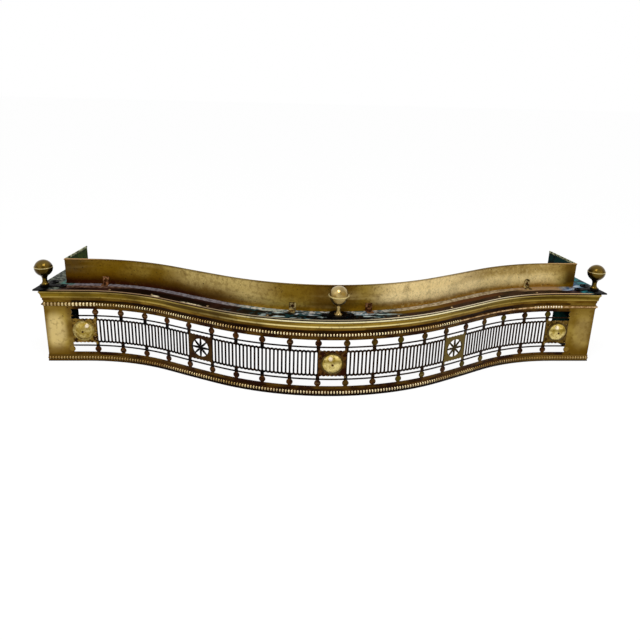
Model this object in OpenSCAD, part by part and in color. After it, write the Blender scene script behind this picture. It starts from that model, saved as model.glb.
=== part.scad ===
// Serpentine fire fender: a pierced sheet-brass gallery, bowed in the middle and hollow on
// each side, with plain returns that lean in towards the back. An iron plate lies on a brass
// cornice and carries three ball finials and a plain brass upstand.
//
// A section is drawn once, as (distance in front of the panel's face, height), and run along
// the plan. Arc lengths along the front are measured from its middle, to the right positive.

/* [Plan of the front] */
// Width over the two front corners of the panel
front_width = 1220; // [1180:10:1300]
// Radius of the bowed middle
bow_radius = 488; // [470:2:500]
// Angle that the bow turns through on each side of the middle
bow_angle = 28.5; // [27:0.5:30]
// Radius of the nearly straight flank beyond it
flank_radius = 3530; // [3000:10:4000]
// Angle that a flank turns through
flank_angle = 2; // [1.5:0.1:2.5]
// Radius of the hollow on each side, which turns back to straight
hollow_radius = 365; // [350:1:375]

/* [Returns] */
// Length of a return, from the front corner to its back end
return_length = 152; // [110:2:200]
// Angle by which a return leans in towards the back
return_lean = 9.5; // [0:0.5:12]

/* [Panel] */
// Thickness of the sheet brass
sheet = 1.5; // [1.2:0.1:2]
// Height of the panels, up to the underside of the top plate
panel_height = 165; // [160:1:175]
// Height of the middle of the fret
fret_middle = 71.2; // [68:0.2:73]
// Number of bays in the fret
bay_count = 21; // [21]
// Plain sheet left beyond the last bay at each corner
plain_end = 51.6; // [40:0.2:60]

/* [Fret] */
// Slots in one bay
slots_per_bay = 7; // [6:1:8]
// Width of a slot
slot_width = 4.5; // [3.6:0.1:5]
// Height of a slot over its round ends
slot_height = 48; // [40:1:50]
// Radius of the small arches that scallop the edge of the slotted band
arch_radius = 6.3; // [6:0.1:6.8]
// Inner edge of the thin rail, from the middle of the fret
rail_inner = 33.3; // [33:0.1:34]
// Width of the thin rail
rail_width = 3; // [2.4:0.1:3.2]
// Edge of the plain border, from the middle of the fret
border_inner = 50.2; // [49:0.2:52]
// Diameter of the roundels that stand between the openings of the outer rows
roundel_d = 13.4; // [12:0.2:13.6]
// Width of the stem that carries a roundel
stem_width = 7.4; // [6:0.2:9]
// Radius of a pierced rosette
rosette_radius = 19.8; // [18:0.2:21]
// Spokes in a rosette
spoke_count = 8; // [6:2:8]
// Width of a spoke where it is widest, at half its length
spoke_width = 4.8; // [3:0.2:5.4]
// Width of a spoke at the hub and at the rosette's edge
spoke_end_width = 2.8; // [1.6:0.2:3]
// Radius of the hub
hub_radius = 4.6; // [3.4:0.2:5]

/* [Cornice] */
// How far the cornice's lip stands out from the panel
cornice_reach = 5.5; // [5:0.5:8]
// Height of the square fillet near the top of the cornice
fillet_height = 3; // [2.5:0.5:4]
// Height of the narrower cap between the fillet and the plate
cap_height = 3; // [1.5:0.5:3.5]
// How far the cap stands out
cap_reach = 4.7; // [4.4:0.1:4.9]
// Height of the middle of the ogee's belly
belly_height = 148.1; // [147:0.1:150]
// Radius of the belly
belly_radius = 1.5; // [1.2:0.1:1.8]
// How far the flat neck under the belly stands out
neck_reach = 1; // [0.8:0.1:1.4]

/* [Beaded strips] */
// Thickness of the strips' flat backing
backing = 0.8; // [0.6:0.1:1]
// Radius of the round rod that carries the beads
rod_radius = 2.4; // [2:0.1:2.8]
// Height of the upper rod's middle
upper_rod_height = 132.8; // [131:0.2:135]
// Height of the lower rod's middle
lower_rod_height = 7.6; // [7:0.2:9.4]
// How far the square foot under the lower rod stands out
foot_reach = 2.2; // [1.5:0.1:3]
// Height of the square foot
foot_height = 3.8; // [3.4:0.2:5.6]

/* [Iron] */
// Thickness of the top plate
plate = 3; // [2.5:0.5:4]
// How far the plate reaches over the front
plate_front = 9.5; // [8:0.5:12]
// How far the plate reaches over the returns
plate_side = 14; // [10:0.5:16]
// Inner edge of the plate, behind the panel's face
plate_inner = 44; // [42:1:60]
// Thickness of the bar inside the panels' lower edge
rail_thick = 4; // [3:0.5:6]
// Height of that bar
rail_height = 12; // [8:1:16]
// Thickness of the pads under the finials
pad = 3; // [2:0.5:4]

/* [Upstand] */
// Distance of the upstand's face behind the panel's face
upstand_back = 36; // [34:1:38]
// Height of the upstand above the plate
upstand_height = 56; // [40:1:70]
// Diameter of the wired edge along its top
wire_d = 3.4; // [2.6:0.2:4.4]

/* [Brackets] */
// Places of the four angle brackets along the front, as they were fitted by hand
bracket_places = [-520, -86, 79, 496];
// Width of a bracket
bracket_width = 13.6; // [12:0.2:16]
// Height of its upright leg
bracket_rise = 17; // [15:0.5:20]
// Length of its foot
bracket_foot = 16; // [14:0.5:18]
// Thickness of its metal
bracket_metal = 1.8; // [1.4:0.2:2.2]
// Which bracket has an upright leg with a round top, counted from 0 at the left
round_bracket = 3; // [0:1:3]
// Height of that leg
round_bracket_rise = 20.4; // [17:0.2:22]

/* [Finials] */
// Place of the middle finial, right of the plan's middle
middle_finial_x = 9; // [0:1:12]
// Its distance behind the panel's face
middle_finial_back = 9; // [8:1:14]
// Corner finials, inwards from the panel's corner
corner_finial_in = 3; // [2:1:8]
// Corner finials, behind the panel's corner
corner_finial_back = 18; // [12:0.5:20]
// Height of the corner balls' middle above the pad
ball_middle = 36.8; // [36:0.2:40]
// Height of their seam above that
seam_lift = 3; // [0:0.5:4]
// Height of the middle ball's seam above the pad
middle_seam = 40; // [38:0.2:42]
// Radius of the corner balls
ball_radius = 19.3; // [18:0.1:20]
// Height of a corner ball above and below its middle
half_height = 18; // [17:0.1:19]
// Radius of the finials' foot
foot_radius = 8.2; // [7:0.2:9]
// Diameter of the tenon that is riveted into the plate
tenon_d = 7; // [6:0.5:8]

/* [Bosses] */
// Diameter of the dome
dome_d = 40; // [38:0.5:44]
// How far the dome stands out
dome_rise = 8.4; // [6:0.2:8.6]
// Diameter of the thin rim round it
rim_d = 46; // [44:0.5:48]
// Diameter of the pin through its middle
pin_d = 3; // [2.5:0.5:4]

/* [Hidden] */

// Facets of the plan's large arcs, and of small round things
plan_facets = 720;
flank_facets = 4 * plan_facets;
round_facets = 48;
// The upstand's wired edge is drawn with flats
wire_facets = 12;

// Plan: centres of the right half's arcs, and how far along the front each stretch ends
full_angle = bow_angle + flank_angle;
bow_centre = [0, bow_radius];
flank_centre = bow_centre + (flank_radius - bow_radius) * [-sin(bow_angle), cos(bow_angle)];
hollow_centre = flank_centre + (flank_radius + hollow_radius) * [sin(full_angle), -cos(full_angle)];
hollow_end = hollow_centre + [0, hollow_radius];
corner = [front_width / 2, hollow_end[1]];
bow_length = bow_radius * bow_angle * PI / 180;
flank_stop = bow_length + flank_radius * flank_angle * PI / 180;
hollow_stop = flank_stop + hollow_radius * full_angle * PI / 180;
half_length = hollow_stop + corner[0] - hollow_end[0];

// Returns, and the plane on which front and return meet
side_heading = 90 + return_lean;
mitre_heading = -(90 - return_lean) / 2;
lead = 70;
reach = 200;

// The part stands with the middle of its box over the origin
back_y = corner[1] + return_length * cos(return_lean) + plate_side * sin(return_lean);
middle_y = (back_y - plate_front) / 2;

plate_top = panel_height + plate;
pad_top = plate_top + pad;

// Fret
bay = 2 * (half_length - plain_end) / bay_count;
slot_pitch = bay / slots_per_bay;
slot_end = slot_height / 2 - slot_width / 2;
rail_outer = rail_inner + rail_width;
roundel_middle = (rail_outer + border_inner) / 2;
middle_bay = (bay_count - 1) / 2;
rosette_bay = middle_bay / 2;
cutter_depth = 16;

// Cornice
belly_reach = neck_reach + belly_radius;
fillet_underside = panel_height - cap_height - fillet_height;
step = 0.8;
hollow_rise = fillet_underside - belly_height;
hollow_run = cornice_reach - step - belly_reach;
ogee_radius = (hollow_run * hollow_run + hollow_rise * hollow_rise) / (2 * hollow_run);
neck_underside = 141.5;

// Beaded strips
upper_strip_low = 128.1;
upper_strip_high = 137;
lower_strip_high = 14.4;

// Rivets along the plate's front edge
plate_rivet_places = [-500, -400, -260, -130, 130, 260, 400, 500];
plate_rivet_reach = 2.5;
plate_rivet_d = 3;
plate_rivet_head = 6;

// Screws of the brackets
screw_d = 3;
screw_head = 6.4;
screw_rise = 10.5;
screw_foot = 9.5;

// Pads
lobe_radius = 9;
pad_rivet_d = 4;
pad_rivet_head = 8;
front_lobe = [-37, -5];
back_lobe = [-12, 22.5];
middle_lobe = [25, 4.5];
middle_lobe_radius = 7;
middle_disc = 17;
middle_disc_back = 9;

bite = 1;

// How much wider than its rivet, screw or pin a hole is
play = 0.2;

// Heading of the right half at arc length s
function heading_at(s) =
    s <= bow_length ? s / bow_radius * 180 / PI
    : s <= flank_stop ? bow_angle + (s - bow_length) / flank_radius * 180 / PI
    : s <= hollow_stop ? (hollow_stop - s) / hollow_radius * 180 / PI
    : 0;

// Point of the right half at arc length s
function point_at(s) =
    let (h = heading_at(s))
        s <= bow_length ? bow_centre + bow_radius * [sin(h), -cos(h)]
        : s <= flank_stop ? flank_centre + flank_radius * [sin(h), -cos(h)]
        : s <= hollow_stop ? hollow_centre + hollow_radius * [-sin(h), cos(h)]
        : hollow_end + [s - hollow_stop, 0];

// Corner point of the right half at distances in front of the front and of the return
function corner_at(front, side) =
    [corner[0] + (side + front * sin(return_lean)) / cos(return_lean), corner[1] - front];

// Point on the right return at a distance along it and in front of its face
function side_at(along, out) =
    corner + along * [-sin(return_lean), cos(return_lean)]
        + out * [cos(return_lean), sin(return_lean)];

// Puts the plan where the part's frame wants it
module in_frame() {
    translate([0, -middle_y, 0]) children();
}

// Children stand at arc length s of the front: x along it, y inwards, z up
module on_front(s, out = 0) {
    point = point_at(abs(s));
    translate([sign(s) * point[0], point[1], 0])
        rotate([0, 0, sign(s) * heading_at(abs(s))])
            translate([0, -out, 0]) children();
}

// Moves children to a plan point, in round hundredths first, so that stretches meet exactly
module exactly_at(point) {
    round_part = [floor(point[0] * 100) / 100, floor(point[1] * 100) / 100];
    translate([round_part[0], round_part[1], 0])
        translate([point[0] - round_part[0], point[1] - round_part[1], 0]) children();
}

// A straight stretch of a section, along x, with its front towards -y
module straight_run(length) {
    rotate([90, 0, 90])
        linear_extrude(length) mirror([1, 0]) children();
}

// The bow, both flanks and both hollows of a section
module serpentine_run() {
    exactly_at(bow_centre)
        rotate_extrude(angle = 2 * bow_angle, start = 270 - bow_angle, $fn = plan_facets)
            translate([bow_radius, 0]) children();
    for (side = [0, 1])
        mirror([side, 0, 0]) {
            exactly_at(flank_centre)
                rotate_extrude(angle = flank_angle, start = 270 + bow_angle, $fn = flank_facets)
                    translate([flank_radius, 0]) children();
            exactly_at(hollow_centre)
                rotate_extrude(angle = full_angle, start = 90, $fn = plan_facets)
                    translate([hollow_radius, 0]) mirror([1, 0]) children();
        }
}

// Half space beyond the right corner's mitre, on the front's side (-1) or the return's (1)
module beyond_mitre(side) {
    translate([corner[0], corner[1], -bite])
        rotate([0, 0, mitre_heading])
            translate([-reach, side < 0 ? 0 : -reach, 0])
                cube([2 * reach, reach, 2 * reach]);
}

// The whole front of a section, mitred at both corners
module front_run() {
    serpentine_run() children();
    for (side = [0, 1])
        mirror([side, 0, 0])
            difference() {
                exactly_at(hollow_end)
                    straight_run(corner[0] - hollow_end[0] + lead) children();
                beyond_mitre(-1);
            }
}

// The right return of a section, mitred at the corner
module return_run() {
    difference() {
        translate([corner[0], corner[1], 0])
            rotate([0, 0, side_heading])
                translate([-lead, 0, 0])
                    straight_run(lead + return_length) children();
        beyond_mitre(1);
    }
}

// A right-hand thing, or its mirror image on the left
module on_side(side) {
    mirror([side < 0 ? 1 : 0, 0, 0]) children();
}

// Sections, as (distance in front of the panel's face, height)

module sheet_section() {
    translate([-sheet, 0]) square([sheet, panel_height]);
}

// A cap and a square fillet over an ogee: hollow above, round below, down to a flat neck
module cornice_section() {
    translate([0, fillet_underside]) square([cap_reach, fillet_height + cap_height]);
    translate([0, fillet_underside]) square([cornice_reach, fillet_height]);
    difference() {
        translate([0, belly_height]) square([cornice_reach - step, hollow_rise]);
        translate([belly_reach + ogee_radius, belly_height])
            circle(ogee_radius, $fn = 2 * round_facets);
    }
    intersection() {
        translate([neck_reach, belly_height]) circle(belly_radius, $fn = round_facets);
        translate([0, belly_height - belly_radius]) square([belly_reach, belly_radius]);
    }
    translate([0, neck_underside]) square([neck_reach, belly_height - neck_underside]);
}

// A rod on a flat backing, cut off flush with the panel's face
module rod_section(low, high, rod_height) {
    translate([0, low]) square([backing, high - low]);
    difference() {
        translate([backing, rod_height]) circle(rod_radius, $fn = round_facets);
        translate([-2 * rod_radius, rod_height - 2 * rod_radius])
            square([2 * rod_radius, 4 * rod_radius]);
    }
}

module upper_bead_section() {
    rod_section(upper_strip_low, upper_strip_high, upper_rod_height);
}

module base_moulding_section() {
    rod_section(0, lower_strip_high, lower_rod_height);
    square([foot_reach, foot_height]);
}

module base_band_section() {
    square([backing, lower_strip_high]);
}

module base_rail_section() {
    translate([-sheet - rail_thick, 0]) square([rail_thick, rail_height]);
}

module plate_section() {
    translate([-plate_inner, panel_height]) square([plate_front + plate_inner, plate]);
}

module upstand_section() {
    wire_height = plate_top + upstand_height - wire_d / 2;
    translate([-upstand_back - sheet, plate_top])
        square([sheet, upstand_height - wire_d / 2]);
    translate([-upstand_back - sheet / 2, wire_height]) circle(d = wire_d, $fn = wire_facets);
}

// The fret, as flat outlines: x along the front, y up from the fret's middle

module slot_outline() {
    square([slot_width, 2 * slot_end], center = true);
    for (end = [-1, 1])
        translate([0, end * slot_end]) circle(d = slot_width, $fn = round_facets);
}

module slot_outlines() {
    for (i = [0 : slots_per_bay - 1])
        translate([(i - (slots_per_bay - 1) / 2) * slot_pitch, 0]) slot_outline();
}

// Gap between the thin rail and the arches, scalloped on its lower edge
module scalloped_gap() {
    difference() {
        translate([-bay / 2 + stem_width / 2, slot_end])
            square([bay - stem_width, rail_inner - slot_end]);
        for (i = [0 : slots_per_bay - 1])
            translate([(i - (slots_per_bay - 1) / 2) * slot_pitch, slot_end])
                circle(arch_radius, $fn = round_facets);
    }
}

// Opening of an outer row, between two roundels on their stems
module row_opening() {
    difference() {
        translate([-bay / 2 + stem_width / 2, rail_outer])
            square([bay - stem_width, border_inner - rail_outer]);
        for (end = [-1, 1])
            translate([end * bay / 2, roundel_middle]) circle(d = roundel_d, $fn = round_facets);
    }
}

// Two opposite spokes, a little leaf-shaped
module spoke_pair() {
    end = spoke_end_width / 2;
    wide = spoke_width / 2;
    half = rosette_radius / 2;
    tip = rosette_radius + bite;
    polygon([
        [-tip, -end], [-half, -wide], [0, -end], [half, -wide], [tip, -end],
        [tip, end], [half, wide], [0, end], [-half, wide], [-tip, end],
    ]);
}

// A round opening, less its spokes and hub
module rosette_outline() {
    difference() {
        circle(rosette_radius, $fn = 2 * round_facets);
        for (i = [0 : spoke_count / 2 - 1])
            rotate(i * 360 / spoke_count) spoke_pair();
        circle(hub_radius, $fn = round_facets);
    }
}

// All the openings of one bay
module bay_outline(index) {
    from_middle = abs(index - middle_bay);
    for (half = [0, 1])
        mirror([0, half]) {
            scalloped_gap();
            row_opening();
        }
    if (from_middle == rosette_bay)
        rosette_outline();
    else if (from_middle > 0 && from_middle < middle_bay)
        slot_outlines();
}

// Middle of a bay, as arc length
function bay_middle(index) = (index - middle_bay) * bay;

module bay_cutter(index) {
    on_front(bay_middle(index))
        translate([0, cutter_depth / 2, fret_middle])
            rotate([90, 0, 0])
                linear_extrude(cutter_depth) bay_outline(index);
}

// Panels

module front_panel() {
    color("goldenrod") in_frame()
        difference() {
            front_run() sheet_section();
            for (index = [0 : bay_count - 1])
                bay_cutter(index);
            for (index = [0, middle_bay, bay_count - 1])
                on_front(bay_middle(index)) pin_hole();
        }
}

module side_panel(side) {
    color("darkgoldenrod") in_frame() on_side(side)
        return_run() sheet_section();
}

// Mouldings

module plate_rivet_hole(places) {
    for (s = places)
        on_front(s, plate_rivet_reach)
            translate([0, 0, fillet_underside])
                cylinder(d = plate_rivet_d + play, h = panel_height, $fn = round_facets);
}

module cornice() {
    color("gold") in_frame()
        difference() {
            front_run() cornice_section();
            plate_rivet_hole(plate_rivet_places);
        }
}

module side_cornice(side) {
    color("gold") in_frame() on_side(side)
        return_run() cornice_section();
}

module upper_bead_strip() {
    color("khaki") in_frame()
        front_run() upper_bead_section();
}

module side_upper_bead_strip(side) {
    color("khaki") in_frame() on_side(side)
        return_run() upper_bead_section();
}

// Everything further out than the right return's plain band
module outside_band() {
    translate([corner[0], corner[1], -bite])
        rotate([0, 0, side_heading])
            translate([-reach, -reach - backing, 0])
                cube([2 * reach, reach, 2 * reach]);
}

// The rod and foot end flush with the plain bands of the returns
module base_moulding() {
    color("khaki") in_frame()
        difference() {
            front_run() base_moulding_section();
            for (side = [-1, 1])
                on_side(side) outside_band();
        }
}

module side_base_moulding(side) {
    color("khaki") in_frame() on_side(side)
        return_run() base_band_section();
}

// Iron

module base_rail() {
    color("dimgray") in_frame()
        front_run() base_rail_section();
}

module side_base_rail(side) {
    color("dimgray") in_frame() on_side(side)
        return_run() base_rail_section();
}

// The plate's straight end, its corner and its return, in one outline
module plate_end() {
    exactly_at(hollow_end)
        translate([0, 0, panel_height])
            linear_extrude(plate)
                polygon([
                    [0, -plate_front],
                    corner_at(plate_front, plate_side) - hollow_end,
                    side_at(return_length, plate_side) - hollow_end,
                    side_at(return_length, -plate_inner) - hollow_end,
                    corner_at(-plate_inner, -plate_inner) - hollow_end,
                    [0, plate_inner],
                ]);
}

module top_plate() {
    color("darkslategray") in_frame()
        difference() {
            union() {
                serpentine_run() plate_section();
                for (side = [-1, 1])
                    on_side(side) plate_end();
            }
            plate_rivet_hole(plate_rivet_places);
            bracket_foot_holes();
            tenon_holes();
            pad_rivet_holes();
        }
}

module plate_rivets() {
    color("peru") in_frame()
        for (s = plate_rivet_places)
            on_front(s, plate_rivet_reach) {
                translate([0, 0, fillet_underside])
                    cylinder(d = plate_rivet_d, h = plate_top - fillet_underside, $fn = round_facets);
                translate([0, 0, plate_top])
                    dome(plate_rivet_head, 1.6);
            }
}

// A low dome of a given diameter and height, on the plane z = 0
module dome(diameter, height) {
    radius = (diameter * diameter / 4 + height * height) / (2 * height);
    rotate_extrude($fn = round_facets)
        intersection() {
            translate([0, height - radius]) circle(radius, $fn = 4 * round_facets);
            square([diameter / 2, height]);
        }
}

// Upstand and its brackets

module upstand() {
    color("goldenrod") in_frame()
        difference() {
            front_run() upstand_section();
            bracket_wall_holes();
        }
}

module side_upstand(side) {
    color("goldenrod") in_frame() on_side(side)
        return_run() upstand_section();
}

module on_brackets() {
    for (s = bracket_places)
        on_front(s, -upstand_back) translate([0, 0, plate_top]) children();
}

module bracket_wall_holes() {
    on_brackets()
        translate([0, bite + sheet, screw_rise])
            rotate([90, 0, 0])
                cylinder(d = screw_d + play, h = sheet + 4 * bite, $fn = round_facets);
}

module bracket_foot_holes() {
    on_brackets()
        translate([0, -screw_foot, -plate - bite])
            cylinder(d = screw_d + play, h = plate + 2 * bite, $fn = round_facets);
}

// An angle of two legs, its upright one square or round at the top
module bracket(round_top) {
    half = bracket_width / 2;
    shoulder = round_bracket_rise - half;
    rotate([90, 0, 0])
        linear_extrude(bracket_metal) {
            translate([-half, 0]) square([bracket_width, round_top ? shoulder : bracket_rise]);
            if (round_top)
                translate([0, shoulder]) circle(half, $fn = round_facets);
        }
    translate([-half, -bracket_foot, 0])
        cube([bracket_width, bracket_foot, bracket_metal]);
}

module angle_brackets() {
    color("burlywood") in_frame()
        difference() {
            for (i = [0 : len(bracket_places) - 1])
                on_front(bracket_places[i], -upstand_back) translate([0, 0, plate_top])
                    bracket(i == round_bracket);
            bracket_wall_holes();
            on_brackets()
                translate([0, -screw_foot, -bite])
                    cylinder(d = screw_d + play, h = bracket_metal + 2 * bite, $fn = round_facets);
        }
}

module bracket_screws() {
    color("saddlebrown") in_frame()
        on_brackets() {
            translate([0, sheet, screw_rise])
                rotate([90, 0, 0]) {
                    cylinder(d = screw_d, h = sheet + bracket_metal, $fn = round_facets);
                    translate([0, 0, sheet + bracket_metal]) dome(screw_head, 1.8);
                }
            translate([0, -screw_foot, -plate]) {
                cylinder(d = screw_d, h = plate + bracket_metal, $fn = round_facets);
                translate([0, 0, plate + bracket_metal]) dome(screw_head, 1.8);
            }
        }
}

// Finials and their pads

module at_corner_finial(side) {
    on_side(side)
        translate([corner[0] - corner_finial_in, corner[1] + corner_finial_back, 0]) children();
}

module at_middle_finial() {
    on_front(middle_finial_x, -middle_finial_back) children();
}

module on_finials() {
    for (side = [-1, 1])
        at_corner_finial(side) children();
    at_middle_finial() children();
}

module tenon_holes() {
    on_finials()
        translate([0, 0, panel_height - bite])
            cylinder(d = tenon_d + play, h = plate + pad + 2 * bite, $fn = round_facets);
}

// Places of a pad's rivets, measured from its finial
module on_pad_rivets() {
    for (side = [-1, 1])
        at_corner_finial(side)
            for (lobe = [front_lobe, back_lobe])
                translate([lobe[0], lobe[1], 0]) children();
    at_middle_finial()
        for (side = [-1, 1])
            translate([side * middle_lobe[0], middle_lobe[1], 0]) children();
}

module pad_rivet_holes() {
    on_pad_rivets()
        translate([0, 0, panel_height - bite])
            cylinder(d = pad_rivet_d + play, h = plate + pad + 2 * bite, $fn = round_facets);
}

// A waisted strap with a round end, from the finial to one of its rivets
module lobe_outline(to, radius = lobe_radius) {
    waist = 13;
    translate(to) circle(radius, $fn = round_facets);
    rotate(atan2(to[1], to[0]))
        translate([0, -waist / 2]) square([norm(to), waist]);
}

module corner_pad(side) {
    color("black") in_frame()
        difference() {
            at_corner_finial(side)
                translate([0, 0, plate_top])
                    linear_extrude(pad) {
                        circle(lobe_radius + 2, $fn = round_facets);
                        lobe_outline(front_lobe);
                        lobe_outline(back_lobe);
                    }
            tenon_holes();
            pad_rivet_holes();
        }
}

module centre_finial_pad() {
    color("black") in_frame()
        difference() {
            at_middle_finial()
                translate([0, 0, plate_top])
                    linear_extrude(pad) {
                        for (back = [0, middle_disc_back])
                            translate([0, back]) circle(middle_disc, $fn = round_facets);
                        for (side = [-1, 1])
                            lobe_outline([side * middle_lobe[0], middle_lobe[1]], middle_lobe_radius);
                    }
            tenon_holes();
            pad_rivet_holes();
        }
}

module pad_rivets() {
    color("gray") in_frame()
        on_pad_rivets() {
            translate([0, 0, panel_height])
                cylinder(d = pad_rivet_d, h = plate + pad, $fn = round_facets);
            translate([0, 0, pad_top]) dome(pad_rivet_head, 2.6);
        }
}

// Turned foot: a rim, then a hollow curve up to the neck
module foot_profile(neck) {
    rim = 2.4;
    curve = 9;
    top = rim + sqrt(curve * curve - pow(curve + neck - foot_radius, 2));
    square([foot_radius, rim]);
    difference() {
        translate([0, rim]) square([foot_radius, top - rim]);
        translate([neck + curve, top]) circle(curve, $fn = 2 * round_facets);
    }
}

// Half of a spun ball, on the plane of its middle
module half_ball_profile(radius, height) {
    sphere_radius = (radius * radius + height * height) / (2 * height);
    intersection() {
        translate([0, height - sphere_radius]) circle(sphere_radius, $fn = 4 * round_facets);
        square([radius, height]);
    }
}

// Hollow curve that runs from the neck into the lower half of a ball
module throat_profile(neck, curve, radius, height, middle) {
    sphere_radius = (radius * radius + height * height) / (2 * height);
    centre_z = middle + sphere_radius - height;
    start_z = centre_z - sqrt(pow(sphere_radius + curve, 2) - pow(neck + curve, 2));
    share = curve / (sphere_radius + curve);
    touch = [(neck + curve) * (1 - share), start_z + (centre_z - start_z) * share];
    difference() {
        polygon([[0, start_z], [neck + curve, start_z], touch, [0, touch[1]]]);
        translate([neck + curve, start_z]) circle(curve, $fn = 2 * round_facets);
    }
    translate([0, 2]) square([neck, start_z - 2]);
}

module corner_finial_profile() {
    neck = 5.2;
    seam_rib = 0.6;
    rib_reach = 0.2;
    foot_profile(neck);
    throat_profile(neck, 11, ball_radius, half_height, ball_middle);
    translate([0, ball_middle]) half_ball_profile(ball_radius, half_height);
    translate([0, ball_middle]) mirror([0, 1]) half_ball_profile(ball_radius, half_height);
    translate([0, ball_middle + seam_lift - seam_rib])
        square([ball_radius + rib_reach, 2 * seam_rib]);
    translate([0, panel_height - pad_top]) square([tenon_d / 2, pad_top - panel_height]);
}

// The middle finial has a bowl and a cap, and both keep their flanges
module middle_finial_profile() {
    neck = 3.8;
    bowl_radius = 16.6;
    bowl_height = 19.4;
    cap_radius = 18.6;
    top_height = 18.8;
    flange_radius = 20.4;
    flange = 0.8;
    collar_z = 17;
    foot_profile(neck);
    throat_profile(neck, 2, bowl_radius, bowl_height, middle_seam);
    translate([0, collar_z]) square([neck + 1.2, 1.6]);
    translate([0, middle_seam + flange]) half_ball_profile(cap_radius, top_height);
    translate([0, middle_seam]) mirror([0, 1]) half_ball_profile(bowl_radius, bowl_height);
    translate([0, middle_seam - flange]) square([flange_radius - 1, flange]);
    translate([0, middle_seam]) square([cap_radius, flange]);
    translate([0, middle_seam + flange]) square([flange_radius, flange]);
    translate([0, panel_height - pad_top]) square([tenon_d / 2, pad_top - panel_height]);
}

module corner_finial(side) {
    color("gold") in_frame()
        at_corner_finial(side)
            translate([0, 0, pad_top])
                rotate_extrude($fn = 2 * round_facets) corner_finial_profile();
}

module centre_finial() {
    color("khaki") in_frame()
        at_middle_finial()
            translate([0, 0, pad_top])
                rotate_extrude($fn = 2 * round_facets) middle_finial_profile();
}

// Bosses

module pin_hole() {
    translate([0, cutter_depth / 2, fret_middle])
        rotate([90, 0, 0])
            cylinder(d = pin_d + play, h = cutter_depth, $fn = round_facets);
}

// A domed boss, hollowed behind where the panel bows out
module boss(index) {
    rim = 1;
    bow = index == middle_bay ? rim_d * rim_d / (8 * bow_radius) : 0;
    color("palegoldenrod") in_frame()
        difference() {
            on_front(bay_middle(index))
                translate([0, bow, fret_middle])
                    rotate([90, 0, 0]) {
                        cylinder(d = rim_d, h = bow + rim, $fn = 2 * round_facets);
                        translate([0, 0, bow + rim]) dome(dome_d, dome_rise - rim);
                    }
            if (index == middle_bay)
                translate([0, bow_radius, 0])
                    cylinder(r = bow_radius, h = panel_height, $fn = 2 * plan_facets);
            on_front(bay_middle(index)) pin_hole();
        }
}

module boss_pins() {
    head = 5;
    color("saddlebrown") in_frame()
        for (index = [0, middle_bay, bay_count - 1])
            on_front(bay_middle(index))
                translate([0, sheet, fret_middle])
                    rotate([90, 0, 0]) {
                        cylinder(d = pin_d, h = sheet + dome_rise, $fn = round_facets);
                        translate([0, 0, sheet + dome_rise]) dome(head, 0.8);
                    }
}

front_panel();
side_panel(-1);  // left_side_panel
side_panel(1);  // right_side_panel
cornice();
side_cornice(-1);  // left_cornice
side_cornice(1);  // right_cornice
upper_bead_strip();
side_upper_bead_strip(-1);  // left_upper_bead_strip
side_upper_bead_strip(1);  // right_upper_bead_strip
base_moulding();
side_base_moulding(-1);  // left_base_moulding
side_base_moulding(1);  // right_base_moulding
base_rail();
side_base_rail(-1);  // left_base_rail
side_base_rail(1);  // right_base_rail
top_plate();
plate_rivets();
upstand();
side_upstand(-1);  // left_upstand
side_upstand(1);  // right_upstand
angle_brackets();
bracket_screws();
corner_pad(-1);  // left_finial_pad
centre_finial_pad();
corner_pad(1);  // right_finial_pad
pad_rivets();
corner_finial(-1);  // left_finial
centre_finial();
corner_finial(1);  // right_finial
boss(0);  // left_boss
boss(middle_bay);  // centre_boss
boss(bay_count - 1);  // right_boss
boss_pins();
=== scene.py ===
import math

import bmesh
import bpy
from mathutils import Matrix, Vector


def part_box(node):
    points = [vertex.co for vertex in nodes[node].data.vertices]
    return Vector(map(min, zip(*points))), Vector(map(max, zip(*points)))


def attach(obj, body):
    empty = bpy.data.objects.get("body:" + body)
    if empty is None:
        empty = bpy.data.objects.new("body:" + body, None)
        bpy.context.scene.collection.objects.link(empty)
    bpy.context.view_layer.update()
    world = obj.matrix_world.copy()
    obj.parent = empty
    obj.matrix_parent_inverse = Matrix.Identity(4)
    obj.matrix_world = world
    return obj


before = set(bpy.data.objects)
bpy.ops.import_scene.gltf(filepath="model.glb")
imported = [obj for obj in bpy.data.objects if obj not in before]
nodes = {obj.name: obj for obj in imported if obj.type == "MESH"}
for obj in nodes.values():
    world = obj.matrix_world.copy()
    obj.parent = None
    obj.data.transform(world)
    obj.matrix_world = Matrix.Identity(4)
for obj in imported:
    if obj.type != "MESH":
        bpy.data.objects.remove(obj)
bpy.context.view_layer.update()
print("frame loaded:", len(nodes), "nodes")

# The plan that the panel follows, in metres and degrees
plan = {
    "bowRadius": 0.488,
    "bowAngle": 28.5,
    "flankRadius": 3.53,
    "flankAngle": 2,
    "hollowRadius": 0.365,
    "halfWidth": 0.61,
    "lean": 9.5,
    "returnLength": 0.152,
    "plainEnd": 0.0516,
    "bayCount": 21,
    "fretMiddle": 0.0712,
    "roundelHeight": 0.0431,  # of both rows, from the middle of the fret
}

# Where the face of the panel stands at the middle of the fender, and the heights of the plate
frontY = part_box("front_panel")[0][1]
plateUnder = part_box("top_plate")[0][2]
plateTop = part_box("top_plate")[1][2]


# Unit vector at an angle in degrees
def heading(angle):
    return Vector((math.cos(math.radians(angle)), math.sin(math.radians(angle))))


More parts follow.
